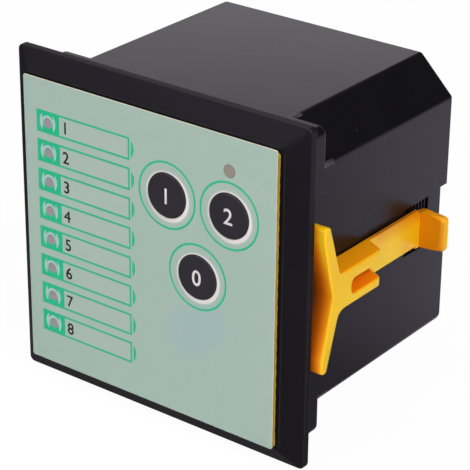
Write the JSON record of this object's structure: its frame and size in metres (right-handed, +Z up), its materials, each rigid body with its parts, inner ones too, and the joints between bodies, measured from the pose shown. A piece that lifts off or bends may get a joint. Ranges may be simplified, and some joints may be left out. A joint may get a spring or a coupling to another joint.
{
  "type": "genset controller",
  "caption": "Square panel-mount generator control unit with keys, indicator lamps, sliding side clips and rear plug terminals.",
  "frame": {"origin": "on the floor below the middle of the bounding box, as the controller stands on its lower edge", "axes": "+X to the right seen from the front, +Y from the front into the panel, +Z up"},
  "size_m": [0.1058, 0.0856, 0.096],
  "materials": {
    "bezel_plastic": "fine satin moulded black",
    "case_plastic": "semi-gloss moulded black",
    "cover_plastic": "fine spark-eroded black",
    "overlay_print": "satin polyester film, pale grey green with green outlines",
    "adhesive": "yellow olive adhesive sheet",
    "clip_plastic": "slightly translucent moulded orange yellow",
    "screw_steel": "zinc-plated steel",
    "circuit_board": "green solder mask on glass-fibre laminate",
    "lamp_epoxy": "diffused epoxy, unlit",
    "switch_plastic": "moulded black",
    "key_plastic": "moulded light grey",
    "strip_plastic": "moulded black",
    "relay_case": "glossy black",
    "capacitor_sleeve": "dark shrink sleeve",
    "chip_epoxy": "moulded epoxy",
    "crystal_can": "nickel-plated can",
    "terminal_plastic": "moulded green"
  },
  "bodies": {
    "root": {"bezel": "bezel_plastic", "overlay_film": "overlay_print", "adhesive_sheet": "adhesive", "rear_case": "case_plastic", "rear_cover": "cover_plastic", "cover_screw_1": "screw_steel", "cover_screw_2": "screw_steel", "cover_screw_3": "screw_steel", "cover_screw_4": "screw_steel", "display_board": "circuit_board", "status_led_1": "lamp_epoxy", "status_led_2": "lamp_epoxy", "status_led_3": "lamp_epoxy", "status_led_4": "lamp_epoxy", "status_led_5": "lamp_epoxy", "status_led_6": "lamp_epoxy", "status_led_7": "lamp_epoxy", "status_led_8": "lamp_epoxy", "mode_led": "lamp_epoxy", "switch_body_manual": "switch_plastic", "switch_body_auto": "switch_plastic", "switch_body_off": "switch_plastic", "relay_board": "circuit_board", "relay_link": "strip_plastic", "logic_board": "circuit_board", "logic_link": "strip_plastic", "relay_1": "relay_case", "relay_2": "relay_case", "relay_3": "relay_case", "relay_4": "relay_case", "capacitor_1": "capacitor_sleeve", "capacitor_2": "capacitor_sleeve", "capacitor_3": "capacitor_sleeve", "controller_chip": "chip_epoxy", "crystal": "crystal_can", "voltage_regulator": "chip_epoxy", "terminal_header_lower": "terminal_plastic", "terminal_plug_lower": "terminal_plastic", "clamp_screw_lower_1": "screw_steel", "clamp_screw_lower_2": "screw_steel", "clamp_screw_lower_3": "screw_steel", "clamp_screw_lower_4": "screw_steel", "clamp_screw_lower_5": "screw_steel", "clamp_screw_lower_6": "screw_steel", "clamp_screw_lower_7": "screw_steel", "terminal_header_upper": "terminal_plastic", "terminal_plug_upper": "terminal_plastic", "clamp_screw_upper_1": "screw_steel", "clamp_screw_upper_2": "screw_steel", "clamp_screw_upper_3": "screw_steel", "clamp_screw_upper_4": "screw_steel", "clamp_screw_upper_5": "screw_steel", "clamp_screw_upper_6": "screw_steel", "clamp_screw_upper_7": "screw_steel"},
    "key_manual": {"key_stem_manual": "key_plastic"},
    "key_auto": {"key_stem_auto": "key_plastic"},
    "key_off": {"key_stem_off": "key_plastic"},
    "clip_right": {"clip_right": "clip_plastic"},
    "clip_left": {"clip_left": "clip_plastic"}
  },
  "joints": [
    {"name": "press_manual", "type": "slide", "parent": "root", "child": "key_manual", "axis": [0, 1, 0], "range_m": [0, 0.0005], "stiffness_N_per_m": 3000, "springref_m": -0.0004},
    {"name": "press_auto", "type": "slide", "parent": "root", "child": "key_auto", "axis": [0, 1, 0], "range_m": [0, 0.0005], "stiffness_N_per_m": 3000, "springref_m": -0.0004},
    {"name": "press_off", "type": "slide", "parent": "root", "child": "key_off", "axis": [0, 1, 0], "range_m": [0, 0.0005], "stiffness_N_per_m": 3000, "springref_m": -0.0004},
    {"name": "slide_clip_right", "type": "slide", "parent": "root", "child": "clip_right", "axis": [0, 1, 0], "range_m": [0, 0.008]},
    {"name": "slide_clip_left", "type": "slide", "parent": "root", "child": "clip_left", "axis": [0, 1, 0], "range_m": [0, 0.008]}
  ]
}
